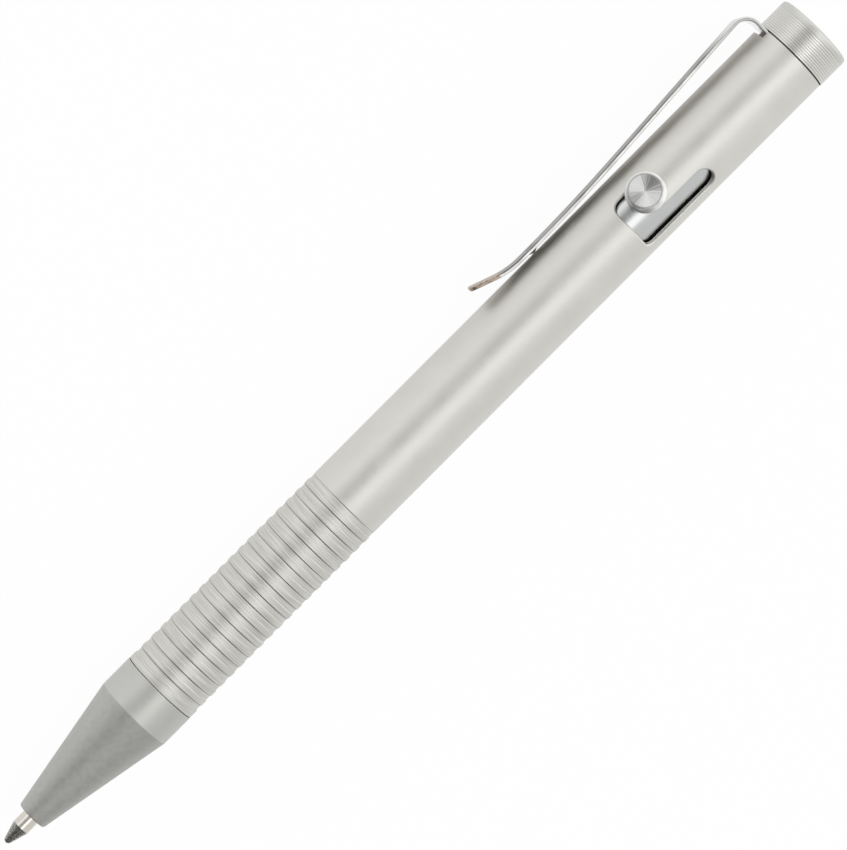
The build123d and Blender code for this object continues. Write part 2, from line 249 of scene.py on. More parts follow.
# End cap with its fine turned rings
ring_count = 11
ring_first = 0.96
ring_pitch = 0.3175
ring_width = 0.15
ring_depth = 0.028
ring_rounding = 0.012
cap_corners = [(0, 0), (0, CAP_RADIUS, 0.76)]
for number in range(ring_count):
    ring = ring_first + ring_pitch * number
    cap_corners += [
        (ring, CAP_RADIUS, ring_rounding),
        (ring + ring_width / 2, CAP_RADIUS - ring_depth, ring_rounding),
        (ring + ring_width, CAP_RADIUS, ring_rounding),
    ]
cap_corners += [
    (CAP_FRONT, CAP_RADIUS, 0.04),
    (CAP_FRONT, SEAM_RADIUS),
    (BARREL_REAR, SEAM_RADIUS),
    (BARREL_REAR, SPIGOT_RADIUS),
    (8.53, SPIGOT_RADIUS, 0.15),
    (8.53, 3.94),
    (4.10, 3.94),
    (4.10, 0),
]
turned("ringed_end_cap", cap_corners, "pen", "end_cap", closed=False)

# Slider seen through the slot, with a groove for each guide ring
slider_radius = 4.40
groove_radius = 3.92
turned(
    "polished_slider",
    [
        (15.20, 0),
        (15.20, slider_radius, 0.30),
        (16.20, slider_radius, 0.05),
        (16.20, groove_radius),
        (17.70, groove_radius),
        (17.70, slider_radius, 0.05),
        (39.00, slider_radius, 0.05),
        (39.00, groove_radius),
        (40.50, groove_radius),
        (40.50, slider_radius, 0.05),
        (41.50, slider_radius, 0.30),
        (41.50, 3.08),
        (34.71, 3.08),
        (34.71, 0),
    ],
    "bolt",
    "bolt_slider",
    closed=False,
)

# Dished knob with its waist and flange
turned(
    "dished_knob",
    [
        (0.80, 0),
        (0.80, 1.00, 0.10),
        (5.62, 1.00),
        (5.62, 2.675, 0.10),
        (6.04, 2.675, 0.10),
        (6.22, 2.42, 0.10),
        (6.57, 2.18, 0.30),
        (7.05, 2.20, 0.16),
        (7.30, 2.30, 0.07),
        (7.62, 2.30, 0.10),
        (7.62, 2.05, 0.05),
        (7.528, 1.60),
        (7.425, 1.10),
        (7.323, 0.60),
        (7.251, 0.25),
        (7.216, 0.08),
        (7.210, 0),
    ],
    "bolt",
    "bolt_knob",
    stations=160,
    origin=STEM,
    axis=outward(PARKED_ANGLE),
    closed=False,
)

# Unwrapped knob: first coordinate along its outline, second round it
unwrapped_size = 10
on_knob_axis = 1e-4
knob = bpy.data.objects["dished_knob"].data
unwrapped = knob.uv_layers.new(name="turning")
knob_out = outward(PARKED_ANGLE)
knob_side = outward(PARKED_ANGLE - 90)


def turn_share(at):
    """Share of a full turn at which a point lies round the knob's axis."""
    return math.atan2(at.dot(knob_side), at.x) / (2 * math.pi)


for polygon in knob.polygons:
    first_turn = None
    for index in polygon.loop_indices:
        at = knob.vertices[knob.loops[index].vertex_index].co / MM - STEM
        height = at.dot(knob_out)
        flat_out = at - knob_out * height
        turn_at = turn_share(flat_out)
        if flat_out.length < on_knob_axis:
            turn_at = turn_share(polygon.center / MM - STEM)
        if first_turn is None:
            first_turn = turn_at
        if turn_at - first_turn > 0.5:
            turn_at -= 1
        if turn_at - first_turn < -0.5:
            turn_at += 1
        along_outline = flat_out.length / unwrapped_size - height / unwrapped_size
        unwrapped.data[index].uv = (along_outline, turn_at)

# Writing point and ball
turned(
    "writing_point",
    [
        (133.50, 1.185),
        (142.92, 1.205, 0.12),
        (145.30, 0.50, 0.06),
        (145.50, 0.42, 0.03),
        (145.50, 0.30),
        (145.10, 0.30),
        (144.80, 0.15),
        (143.11, 0.15),
        (143.11, 0.60),
        (129.50, 0.60),
        (129.50, 1.185),
    ],
    "refill",
    "refill_point",
    stations=128,
)
ball_centre = 145.36
ball_radius = 0.35
ball_steps = 24
arc = []
for step in range(ball_steps + 1):
    swing = math.pi * step / ball_steps
    height = 0 if step in (0, ball_steps) else ball_radius * math.sin(swing)
    arc.append((ball_centre - ball_radius * math.cos(swing), height))
turned("writing_ball", arc, "refill", "refill_ball", stations=64, closed=False)

# Return spring with a closed turn at each end, built at one length; the real spring shortens as the
# refill goes forward
spring_radius = 2.25
wire_radius = 0.175
spring_turns = 9
turn_steps = 48
wire_sides = 12
spring_from, spring_to = (corner.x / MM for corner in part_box("return_spring"))
closed_pitch = 2 * wire_radius + 0.01
open_room = spring_to - spring_from - 2 * wire_radius - 2 * closed_pitch
open_pitch = open_room / (spring_turns - 2)
coil_points = []
for step in range(spring_turns * turn_steps + 1):
    turns_done = step / turn_steps
    first_closed = min(turns_done, 1)
    last_closed = max(turns_done - spring_turns + 1, 0)
    advance = closed_pitch * first_closed + closed_pitch * last_closed
    advance += open_pitch * min(max(turns_done - 1, 0), spring_turns - 2)
    centre = around(spring_from + wire_radius + advance, spring_radius, 360 * turns_done)
    for number in range(wire_sides):
        swing = 2 * math.pi * number / wire_sides
        bulge = outward(360 * turns_done) * math.cos(swing) + AXIS * math.sin(swing)
        coil_points.append(centre + bulge * wire_radius)
last_ring = len(coil_points) - wire_sides
coil_faces = [list(range(wire_sides)), list(range(last_ring, len(coil_points)))]
for ring in range(0, last_ring, wire_sides):
    for number in range(wire_sides):
        first = ring + number
        following = ring + (number + 1) % wire_sides
        coil_faces.append([first, following, following + wire_sides, first + wire_sides])
coil = new_piece(
    "wound_spring", coil_points, coil_faces, "pen", "return_spring"
)
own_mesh(coil)


# Barrel: wall stations, with grid lines moved to the sides of the notch for the clip's leg
notch_half = 3.16
notch_front = 5.68
notch_outer = math.degrees(math.asin(notch_half / BARREL_RADIUS))
notch_inner = math.degrees(math.asin(notch_half / BORE_RADIUS))
station_angles = [360 * number / STATIONS for number in range(STATIONS)]
notch_stations = []
for moved in (-notch_inner, -notch_outer, notch_outer, notch_inner):
    wanted = CLIP_ANGLE + moved
    nearest = min(range(STATIONS), key=lambda number: abs(station_angles[number] - wanted))
    station_angles[nearest] = wanted
    notch_stations.append(nearest)
inner_from, outer_from, outer_to, inner_to = notch_stations


def unrolled(x, offset, angle):
    """Place on the unrolled outside of a point of a cutter that points out at an angle."""
    middle = math.radians(angle) * BARREL_RADIUS
    return (x, middle + math.asin(offset / BARREL_RADIUS) * BARREL_RADIUS, angle)


def bow(x, offset, radius, start, end, angle, steps=24):
    """Arc of a cutter's outline, unrolled."""
    swept = []
    for step in range(steps + 1):
        swing = math.radians(start + (end - start) * step / steps)
        at_x = x + radius * math.cos(swing)
        swept.append(unrolled(at_x, offset + radius * math.sin(swing), angle))
    return swept


# Outline of the slot: its long run, its parking pocket and the tongue between them
slot_half = 1.655
slot_front = 34.57
run_corner = 1.10
pocket_corner = 1.50
pocket_centre = 30.385
tongue_centre = 29.05
tongue_radius = 0.72
run_end_centre = 23.755
pocket_end = 180 + math.degrees(math.asin(0.978 / slot_half))
front_inside = slot_half - pocket_corner
slot_outline = bow(
    slot_front - run_corner, run_corner - slot_half, run_corner, -90, 0, SLOT_ANGLE
)
slot_outline += bow(
    slot_front - pocket_corner, front_inside, pocket_corner, 0, 90, POCKET_ANGLE
)
slot_outline += bow(pocket_centre, 0, slot_half, 90, pocket_end, POCKET_ANGLE, 36)
slot_outline += bow(tongue_centre, 0, tongue_radius, 90, -90, TONGUE_ANGLE, 36)
slot_outline += bow(run_end_centre, 0, slot_half, 90, 270, SLOT_ANGLE, 48)

# Even spacing along the outline, then a light smoothing that rounds its small corners
spacing = 0.07
smoothing_rounds = 4
ends = slot_outline[1:] + slot_outline[:1]
lengths = [math.dist(a[:2], b[:2]) for a, b in zip(slot_outline, ends)]
count = round(sum(lengths) / spacing)
even = []
walked = 0
run_number = 0
for step in range(count):
    target = sum(lengths) * step / count
    while walked + lengths[run_number] < target:
        walked += lengths[run_number]
        run_number += 1
    share = (target - walked) / lengths[run_number]
    a, b = slot_outline[run_number], ends[run_number]
    even.append(tuple(p + (q - p) * share for p, q in zip(a, b)))
for _ in range(smoothing_rounds):
    even = [
        tuple((even[i - 1][k] + 2 * even[i][k] + even[(i + 1) % count][k]) / 4 for k in range(3))
        for i in range(count)
    ]
slot_normals = []
for i in range(count):
    run = Vector(even[(i + 1) % count][:2]) - Vector(even[i - 1][:2])
    slot_normals.append(Vector((run.y, -run.x)).normalized())

# The slot's zone of the wall, along the axis and in stations round it
x_from, x_to = 20.0, 37.0
zone_from, zone_to = 20, 84
zone_rings = 34
zone_steps = [x_from + (x_to - x_from) * step / zone_rings for step in range(zone_rings + 1)]

# Wall profiles, outside with the grip's lands between its grooves, and inside
land_count = 18
land_pitch = 1.724
land_width = 0.83
land_radius = 5.39
groove_floor = 5.28
last_land_front = 115.75
grip_rear = 84.67
land_corners = [
    (x_to, BARREL_RADIUS),
    (grip_rear, BARREL_RADIUS, 0.06),
    (grip_rear + 0.08, groove_floor, 0.04),
]
for number in reversed(range(land_count)):
    front = last_land_front - land_pitch * number
    rear = front - land_width
    land_corners += [
        (rear - 0.14, groove_floor, 0.05),
        (rear - 0.02, land_radius, 0.05),
        (front - 0.10, land_radius, 0.03),
        (front + 0.02, groove_floor, 0.03),
    ]
land_corners += [
    (116.52, groove_floor, 0.05),
    (116.66, 5.425, 0.05),
    (BARREL_FRONT, 5.425, 0.06),
    (BARREL_FRONT, SEAM_RADIUS),
]
rear_corners = [
    (BARREL_REAR, SEAM_RADIUS),
    (BARREL_REAR + 0.10, SEAM_RADIUS),
    (BARREL_REAR + 0.10, BARREL_RADIUS, 0.05),
    (x_from, BARREL_RADIUS),
]
outer_profile = rounded(rear_corners)[:-1]
outer_profile += [Vector((x, BARREL_RADIUS)) for x in [notch_front, 12.0] + zone_steps]
outer_profile += rounded(land_corners, steps=2)[1:]
inner_places = [BARREL_REAR, notch_front] + zone_steps + [60.0, 90.0, BARREL_FRONT]
inner_profile = [Vector((x, BORE_RADIUS)) for x in inner_places]

points = []
faces = []


def add_ring(places):
    """Adds points at (x, radius, angle) places and returns their numbers."""
    numbers = list(range(len(points), len(points) + len(places)))
    points.extend(around(*place) for place in places)
    return numbers


def add_wall_rings(profile):
    """Adds a full ring of points at each place of a profile, and returns each ring's first."""
    return [add_ring([(*place, angle) for angle in station_angles])[0] for place in profile]


def add_wall(rings, profile, first, last):
    """Joins rings to a wall, leaving out the slot's zone and the notch between two stations."""
    for ring, next_ring, start, end in zip(rings, rings[1:], profile, profile[1:]):
        in_zone = start.x > x_from - TINY and end.x < x_to + TINY
        in_notch = end.x < notch_front + TINY
        for station in range(STATIONS):
            if in_zone and zone_from <= station < zone_to:
                continue
            if in_notch and first <= station < last:
                continue
            following = (station + 1) % STATIONS
            near, far = [ring + station, ring + following], [next_ring + following]
            faces.append(near + far + [next_ring + station])


outer_rings = add_wall_rings(outer_profile)
inner_rings = add_wall_rings(inner_profile)
add_wall(outer_rings, outer_profile, outer_from, outer_to)
add_wall(inner_rings, inner_profile, inner_from, inner_to)

# Ring faces at both ends
front_outer, front_inner = outer_rings[-1], inner_rings[-1]
rear_outer, rear_inner = outer_rings[0], inner_rings[0]
for station in range(STATIONS):
    following = (station + 1) % STATIONS
    outer_edge = [front_outer + station, front_outer + following]
    faces.append(outer_edge + [front_inner + following, front_inner + station])
    if not inner_from <= station < inner_to:
        outer_edge = [rear_outer + station, rear_outer + following]
        faces.append(outer_edge + [rear_inner + following, rear_inner + station])

# The notch's own walls
notch_ring = next(i for i, p in enumerate(outer_profile) if abs(p.x - notch_front) < TINY)
sector_outer, sector_inner = outer_rings[notch_ring], inner_rings[1]
notch_corners = ((inner_from, outer_from), (inner_to, outer_to))
for inner_corner, outer_corner in notch_corners:
    for station in range(*sorted((inner_corner, outer_corner))):
        rear_edge = [rear_outer + station, rear_outer + station + 1]
        faces.append(rear_edge + [rear_inner + inner_corner])
        sector_edge = [sector_inner + station, sector_inner + station + 1]
        faces.append(sector_edge + [sector_outer + outer_corner])
for station in range(outer_from, outer_to):
    sector_edge = [sector_inner + station, sector_inner + station + 1]
    faces.append(sector_edge + [sector_outer + station + 1, sector_outer + station])
for inner_corner, outer_corner in notch_corners:
    side = [ring + outer_corner for ring in outer_rings[: notch_ring + 1]]
    faces.append(side + [sector_inner + inner_corner, rear_inner + inner_corner])


# The slot's rim is a quarter round of this radius, which the outline leaves by the inset
slot_bevel = 0.25
rim_inset = 0.10
bevel_steps = 5
# Past this place the front wall between both cutters goes in toward the axis
front_wall_from = 34


def contour(offset, radius):
    """Slot's outline moved outward, at a radius, each point going in along its cutter."""
    moved = []
    rim_radius = BARREL_RADIUS - slot_bevel
    for (x, arc_length, angle), normal in zip(even, slot_normals):
        at_x = x + normal.x * offset
        at_angle = math.degrees((arc_length + normal.y * offset) / BARREL_RADIUS)
        if SLOT_ANGLE < at_angle < POCKET_ANGLE and at_x > front_wall_from:
            angle = at_angle
        if radius < rim_radius - TINY:
            swing = math.sin(math.radians(at_angle - angle)) * rim_radius / radius
            at_angle = angle + math.degrees(math.asin(max(-1, min(1, swing))))
        moved.append((at_x, at_angle))
    return moved


def inside(x, y, loop):
    """True if a point lies inside a closed outline."""
    found = False
    for (ax, ay), (bx, by) in zip(loop, loop[1:] + loop[:1]):
        if (ay > y) != (by > y) and x < (bx - ax) * (y - ay) / (by - ay) + ax:
            found = not found
    return found


def patch(rings, profile, loop, radius):
    """Fills a wall's zone round the slot's outline, and returns the outline's points."""
    clearance = 0.12
    merge_distance = 1e-7
    scale = math.radians(1) * radius
    flat_loop = [(x, angle * scale) for x, angle in loop]
    flat = []
    owners = []
    numbers = [i for i, p in enumerate(profile) if x_from - TINY < p.x < x_to + TINY]
    for place_number, number in enumerate(numbers):
        for station in range(zone_from, zone_to + 1):
            x, y = profile[number].x, station_angles[station] * scale
            at_end = place_number in (0, len(numbers) - 1)
            if not at_end and station not in (zone_from, zone_to):
                near = min((x - a) ** 2 + (y - b) ** 2 for a, b in flat_loop)
                if near < clearance**2 or inside(x, y, flat_loop):
                    continue
            owners.append(rings[number] + station)
            flat.append(Vector((x, y)))
    start = len(flat)
    ring = add_ring([(x, radius, angle) for x, angle in loop])
    owners += ring
    flat += [Vector(place) for place in flat_loop]
    edges = [(start + i, start + (i + 1) % len(loop)) for i in range(len(loop))]
    filled = geometry.delaunay_2d_cdt(flat, edges, [], 0, merge_distance)
    places, triangles, sources = filled[0], filled[2], filled[3]
    for triangle in triangles:
        centre = sum((places[i] for i in triangle), Vector((0, 0))) / 3
        if not inside(centre.x, centre.y, flat_loop):
            faces.append([owners[sources[i][0]] for i in triangle])
    return ring


rim_outline = contour(slot_bevel - rim_inset, BARREL_RADIUS)
strip = [patch(outer_rings, outer_profile, rim_outline, BARREL_RADIUS)]
for step in range(1, bevel_steps + 1):
    swing = math.radians(90 * step / bevel_steps)
    offset = slot_bevel * (1 - math.sin(swing)) - rim_inset
    radius = BARREL_RADIUS - slot_bevel * (1 - math.cos(swing))
    strip.append(add_ring([(x, radius, angle) for x, angle in contour(offset, radius)]))
bore_outline = contour(-rim_inset, BORE_RADIUS)
strip.append(patch(inner_rings, inner_profile, bore_outline, BORE_RADIUS))
for first, second in zip(strip, strip[1:]):
    for i in range(count):
        faces.append([first[i], first[(i + 1) % count], second[(i + 1) % count], second[i]])
used = sorted({index for face in faces for index in face})
renumbered = {index: number for number, index in enumerate(used)}
barrel = new_piece(
    "turned_barrel",
    [points[index] for index in used],
    [[renumbered[index] for index in face] for face in faces],
    "pen",
    "barrel",
)

# Level shading of the plain outside round the slot
level_from, level_to = 6, 84
radius_error = 0.0004
facing_out = 0.98
mesh = barrel.data
normals = []
for loop in mesh.loops:
    at = mesh.vertices[loop.vertex_index].co / MM
    radial = Vector((0, at.y, at.z))
    on_outside = abs(radial.length - BARREL_RADIUS) < radius_error
    level = on_outside and level_from < at.x < level_to
    normals.append(tuple(radial.normalized()) if level else (0, 0, 0))
for polygon in mesh.polygons:
    radial = Vector((0, polygon.center.y, polygon.center.z)).normalized()
    if polygon.normal.dot(radial) <= facing_out:
        for index in polygon.loop_indices:
            normals[index] = (0, 0, 0)
mesh.normals_split_custom_set(normals)


# Clip: bent strip with rounded edges, a pressed dimple and a lifted tail with a rounded end
strip_half = 3.10
strip_thickness = 0.50
strip_edge = 0.16
path_spacing = 0.22
leg_place = 4.55
leg_foot = 2.40
clip_top = 8.20
clip_bend = 2.20
tail_run = 3.55
tail_corner = 1.20
end_rounding = 0.22
end_thinning = 0.2
end_steps = 6
dimple_x = 45.08
dimple_depth = 0.42
dimple_reach = 1.05
dimple_reach_under = 1.30

clip_runs = [
    ("line", clip_top - clip_bend - leg_foot),
    ("arc", clip_bend, -93.58),
    ("line", 22.65),
    ("arc", 264.0, 3.58),
    ("line", 1.00),
    ("arc", 11.60, 19.7),
    ("line", tail_run - end_rounding),
]
clip_runs += [("line", end_rounding / end_steps)] * end_steps


def direction_of(heading):
    """Unit direction of a heading in the clip's own plane."""
    return Vector((math.cos(math.radians(heading)), math.sin(math.radians(heading))))


def normal_of(heading):
    """Unit direction to the left of a heading in the clip's own plane."""
    return Vector((-math.sin(math.radians(heading)), math.cos(math.radians(heading))))


def strip_path():
    """Points and headings along the outer face of the clip, from the leg's foot to the tail."""
    at = Vector((leg_place, leg_foot))
    heading = 90.0
    path = [(at.copy(), heading)]
    for kind, size, *sweeps in clip_runs:
        begin = at.copy()
        if kind == "line":
            pieces = max(1, round(size / path_spacing))
            for number in range(1, pieces + 1):
                at = begin + direction_of(heading) * (size * number / pieces)
                path.append((at.copy(), heading))
            continue
        sweep = sweeps[0]
        pieces = max(6, round(math.radians(abs(sweep)) * size / path_spacing))
        side = 1 if sweep > 0 else -1
        start = heading
        middle = at + normal_of(heading) * size * side
        for number in range(1, pieces + 1):
            heading = start + sweep * number / pieces
            at = middle - normal_of(heading) * size * side
            path.append((at.copy(), heading))
    return path


path = strip_path()
tail_length = path[-1][0].x
out_direction = outward(CLIP_ANGLE)
side_direction = AXIS.cross(out_direction)
distance = [0.0]
for (a, _), (b, _) in zip(path, path[1:]):
    distance.append(distance[-1] + (b - a).length)
total = distance[-1]

# Steps of a section: its outer face, a side, its inner face and the other side
across = 40
edge_steps = 5
quarter = [math.radians(90 * step / edge_steps) for step in range(edge_steps + 1)]
side_from = across + edge_steps
inner_face_from = side_from + edge_steps + 1
inner_face_to = inner_face_from + across
other_side_to = inner_face_to + edge_steps + 1


def section(number):
    """One closed cross section of the strip, from (across, depth, on the inner face) places."""
    at, heading = path[number]
    left = total - distance[number]
    half = strip_half
    if left < tail_corner:
        half -= tail_corner - math.sqrt(max(0, tail_corner**2 - (tail_corner - left) ** 2))
    into_end = max(0, 1 - left / end_rounding)
    thin = end_thinning * (1 - math.sqrt(max(0, 1 - into_end**2)))
    edge = min(strip_edge, strip_thickness / 2 - thin)
    flat_half = half - edge
    outer, inner = -thin, -strip_thickness + thin
    outline = [(-flat_half + 2 * flat_half * i / across, outer, 0) for i in range(across + 1)]
    for turn in quarter[1:]:
        depth = outer - edge * (1 - math.cos(turn))
        outline.append((flat_half + edge * math.sin(turn), depth, 0))
    for turn in quarter[:-1]:
        depth = inner + edge * (1 - math.sin(turn))
        outline.append((flat_half + edge * math.cos(turn), depth, 0))
    outline += [(flat_half - 2 * flat_half * i / across, inner, 1) for i in range(across + 1)]
    for turn in quarter[1:]:
        depth = inner + edge * (1 - math.cos(turn))
        outline.append((-flat_half - edge * math.sin(turn), depth, 0))
    for turn in quarter[:-1]:
        depth = outer - edge * (1 - math.sin(turn))
        outline.append((-flat_half - edge * math.cos(turn), depth, 0))
    placed = []
    for across_at, depth, under in outline:
        flat = at + normal_of(heading) * depth
        reach = math.hypot(flat.x - dimple_x, across_at)
        share = min(1, reach / (dimple_reach_under if under else dimple_reach))
        pressed = dimple_depth * 0.5 * (1 + math.cos(math.pi * share))
        flat = flat - normal_of(heading) * pressed
        placed.append(AXIS * flat.x + out_direction * flat.y + side_direction * across_at)
    return placed


clip_points = []
for number in range(len(path)):
    clip_points += section(number)
row_size = len(clip_points) // len(path)
last_row = row_size * (len(path) - 1)
clip_faces = []
for row in range(0, last_row, row_size):
    for step in range(row_size):
        following = (step + 1) % row_size
        near, far = [row + step, row + following], [row + row_size + following]
        clip_faces.append(near + far + [row + row_size + step])
for row in (0, last_row):
    clip_faces.append([row + step for step in range(row_size)])
new_piece(
    "spring_clip", clip_points, clip_faces, "clip", "pocket_clip", sharp=40
)


# Colour sockets of a Mix node
MIX_FIRST, MIX_SECOND, MIX_RESULT = 6, 7, 2


def material(name, color, metallic, roughness):
    """Material with a plain colour, metallic share and roughness."""
    made = bpy.data.materials.new(name)
    made.use_nodes = True
    shader = made.node_tree.nodes["Principled BSDF"]
    shader.inputs["Base Color"].default_value = (*color, 1)
    shader.inputs["Metallic"].default_value = metallic
    shader.inputs["Roughness"].default_value = roughness
    return made


def node(tree, kind, links=(), **values):
    """Adds a node, sets its properties or inputs, and links its inputs."""
    added = tree.nodes.new(kind)
    for key, value in values.items():
        if hasattr(added, key):
            setattr(added, key, value)
        else:
            added.inputs[key].default_value = value
    for source, target in links:
        tree.links.new(source, added.inputs[target])
    return added


def calculate(tree, operation, *sources):
    """Result of a Math node, whose sources are sockets or numbers."""
    added = node(tree, "ShaderNodeMath", operation=operation)
    for number, source in enumerate(sources):
        if isinstance(source, (int, float)):
            added.inputs[number].default_value = source
        else:
            tree.links.new(source, added.inputs[number])
    return added.outputs[0]


def remap(tree, source, span, result=(0, 1), smooth=False):
    """Result of a Map Range node that takes a span of values to another one."""
    kind = "SMOOTHSTEP" if smooth else "LINEAR"
    links = [(source, "Value")]
    added = node(tree, "ShaderNodeMapRange", links, interpolation_type=kind)
    for name, value in zip(("From Min", "From Max", "To Min", "To Max"), (*span, *result)):
        added.inputs[name].default_value = value
    return added.outputs["Result"]


def surface(made, colors, grain, roughness, bump, stretch=(1, 1, 1)):
    """Gives a material noise in colour, roughness and height, in object coordinates.

    grain is the noise's scale and spread, and bump its strength, depth in metres and scale.
    """
    noise_span = (0.3, 0.7)
    tree = made.node_tree
    shader = tree.nodes["Principled BSDF"]
    where = node(tree, "ShaderNodeTexCoord")
    mapped = node(tree, "ShaderNodeMapping", [(where.outputs["Object"], "Vector")], Scale=stretch)
    place = [(mapped.outputs["Vector"], "Vector")]
    broad = node(tree, "ShaderNodeTexNoise", place, Scale=grain[0], Detail=6.0)
    ramp = node(tree, "ShaderNodeValToRGB", [(broad.outputs["Fac"], "Fac")])
    for element, color, side in zip(ramp.color_ramp.elements, colors, (-1, 1)):
        element.position = 0.5 + side * grain[1]
        element.color = (*color, 1)
    tree.links.new(ramp.outputs["Color"], shader.inputs["Base Color"])
    level = remap(tree, broad.outputs["Fac"], noise_span, roughness)
    tree.links.new(level, shader.inputs["Roughness"])
    strength, depth, scale = bump
    fine = node(tree, "ShaderNodeTexNoise", place, Scale=scale, Detail=4.0)
    height = [(fine.outputs["Fac"], "Height")]
    raised = node(tree, "ShaderNodeBump", height, Strength=strength, Distance=depth)
    tree.links.new(raised.outputs["Normal"], shader.inputs["Normal"])
    return made


# Blasted steel, by piece
blast_grain = (260, 0.22)
blast_bump = (0.22, 0.00004, 12000)
blasted = surface(
    material("blasted_steel", (0.56, 0.55, 0.52), 1.0, 0.46),
    ((0.648, 0.637, 0.598), (0.700, 0.689, 0.650)),
    blast_grain,
    (0.44, 0.52),
    blast_bump,
)
banded = surface(
    material("blasted_steel_band", (0.55, 0.55, 0.52), 1.0, 0.46),
    ((0.535, 0.537, 0.510), (0.575, 0.577, 0.550)),
    blast_grain,
    (0.44, 0.52),
    blast_bump,
)
capped = surface(
    material("blasted_steel_cap", (0.58, 0.58, 0.55), 1.0, 0.46),
    ((0.595, 0.595, 0.562), (0.645, 0.645, 0.610)),
    blast_grain,
    (0.44, 0.52),
    blast_bump,
)
coned = surface(
    material("blasted_steel_cone", (0.45, 0.45, 0.43), 1.0, 0.48),
    ((0.46, 0.46, 0.44), (0.53, 0.525, 0.505)),
    (1400, 0.20),
    (0.52, 0.60),
    blast_bump,
)

# Turned steel, with fine lines round the axis. The bore, the grip's front flanks, the seams and the
# cap's ring grooves get darker colours as painted shade
# Bore: the inside of the barrel painted dark as painted shade
bore_shade = surface(
    material("bore_painted_shade", (0.20, 0.19, 0.18), 1.0, 0.50),
    ((0.24, 0.23, 0.215), (0.34, 0.33, 0.31)),
    (700, 0.20),
    (0.44, 0.58),
    (0.25, 0.00003, 5000),
    (1, 0.05, 0.05),
)
lathed = surface(
    material("turned_steel", (0.56, 0.55, 0.52), 1.0, 0.40),
    ((0.54, 0.532, 0.50), (0.705, 0.697, 0.66)),
    (6500, 0.14),
    (0.43, 0.54),
    (0.50, 0.00004, 4500),
    (1, 0.03, 0.03),
)
# Grip's front flanks, which face away from the camera, painted dark as painted shade
flank_shade = surface(
    material("grip_flanks_painted_shade", (0.36, 0.33, 0.29), 1.0, 0.46),
    ((0.31, 0.282, 0.25), (0.40, 0.368, 0.335)),
    (900, 0.20),
    (0.40, 0.50),
    (0.20, 0.00003, 6000),
    (1, 0.05, 0.05),
)
# Walls of the gap between cap and barrel, painted dark as painted shade
seam_shade = surface(
    material("seam_painted_shade", (0.20, 0.18, 0.16), 1.0, 0.50),
    ((0.15, 0.13, 0.11), (0.24, 0.21, 0.185)),
    (900, 0.20),
    (0.44, 0.54),
    (0.20, 0.00003, 6000),
    (1, 0.05, 0.05),
)
ringed = surface(
    material("turned_rings", (0.70, 0.69, 0.65), 1.0, 0.36),
    ((0.63, 0.625, 0.59), (0.67, 0.665, 0.63)),
    (5000, 0.20),
    (0.30, 0.38),
    (0.30, 0.00002, 9000),
    (1, 0.01, 0.01),
)
# Cap's ring grooves, painted darker than the lands between them as painted shade
groove_shade = surface(
    material("ring_grooves_painted_shade", (0.30, 0.30, 0.29), 1.0, 0.40),
    ((0.56, 0.55, 0.52), (0.60, 0.59, 0.56)),
    (5000, 0.20),
    (0.34, 0.44),
    (0.30, 0.00002, 9000),
    (1, 0.01, 0.01),
)
polished = surface(
    material("polished_steel", (0.56, 0.57, 0.565), 1.0, 0.16),
    ((0.555, 0.57, 0.565), (0.59, 0.60, 0.595)),
    (300, 0.25),
    (0.22, 0.26),
    (0.04, 0.00001, 9000),
    (3, 1, 1),
)
# Knob flange: rougher than the dish, and painted lighter as painted light
flange_light = surface(
    material("knob_flange_painted_light", (0.74, 0.74, 0.72), 1.0, 0.34),
    ((0.70, 0.70, 0.68), (0.80, 0.80, 0.78)),
    (1200, 0.20),
    (0.30, 0.38),
    (0.10, 0.00002, 7000),
)

# The knob's dish: turned round its own axis, so that light fans out from its middle. Its colour
# also carries painted reflection, light and dark spokes round its middle
dished = material("turned_knob_steel", (0.60, 0.60, 0.59), 1.0, 0.20)
tree = dished.node_tree
shader = tree.nodes["Principled BSDF"]
shader.inputs["Anisotropic"].default_value = 0.75
turning = node(tree, "ShaderNodeUVMap", uv_map="turning")
lines = node(tree, "ShaderNodeTangent", direction_type="UV_MAP", uv_map="turning")
tree.links.new(lines.outputs["Tangent"], shader.inputs["Tangent"])
spokes = node(tree, "ShaderNodeMapping", [(turning.outputs["UV"], "Vector")], Scale=(0.2, 22, 1))
place = [(spokes.outputs["Vector"], "Vector")]
fan = node(tree, "ShaderNodeTexNoise", place, Scale=1.0, Detail=4.0).outputs["Fac"]
# Painted reflection: light and dark spokes painted into the dish's colour
painted_spokes = node(tree, "ShaderNodeValToRGB", [(fan, "Fac")])
painted_spokes.color_ramp.elements[0].color = (0.54, 0.54, 0.53, 1)
painted_spokes.color_ramp.elements[1].color = (0.66, 0.66, 0.65, 1)
tree.links.new(painted_spokes.outputs["Color"], shader.inputs["Base Color"])
tree.links.new(remap(tree, fan, (0, 1), (0.22, 0.30)), shader.inputs["Roughness"])
ridges = node(tree, "ShaderNodeBump", [(fan, "Height")], Strength=0.6, Distance=0.00006)
tree.links.new(ridges.outputs["Normal"], shader.inputs["Normal"])

# Spring steel of the clip, streaked along it
sprung = surface(
    material("spring_steel", (0.86, 0.85, 0.83), 1.0, 0.24),
    ((0.82, 0.81, 0.79), (0.90, 0.89, 0.87)),
    (900, 0.16),
    (0.20, 0.30),
    (0.20, 0.00002, 5000),
    (0.35, 1, 1),
)
sheared = surface(
    material("sheared_edge", (0.72, 0.71, 0.69), 1.0, 0.30),
    ((0.60, 0.59, 0.57), (0.84, 0.83, 0.81)),
    (1800, 0.12),
    (0.26, 0.38),
    (0.25, 0.00003, 6000),
    (0.25, 1, 1),
)
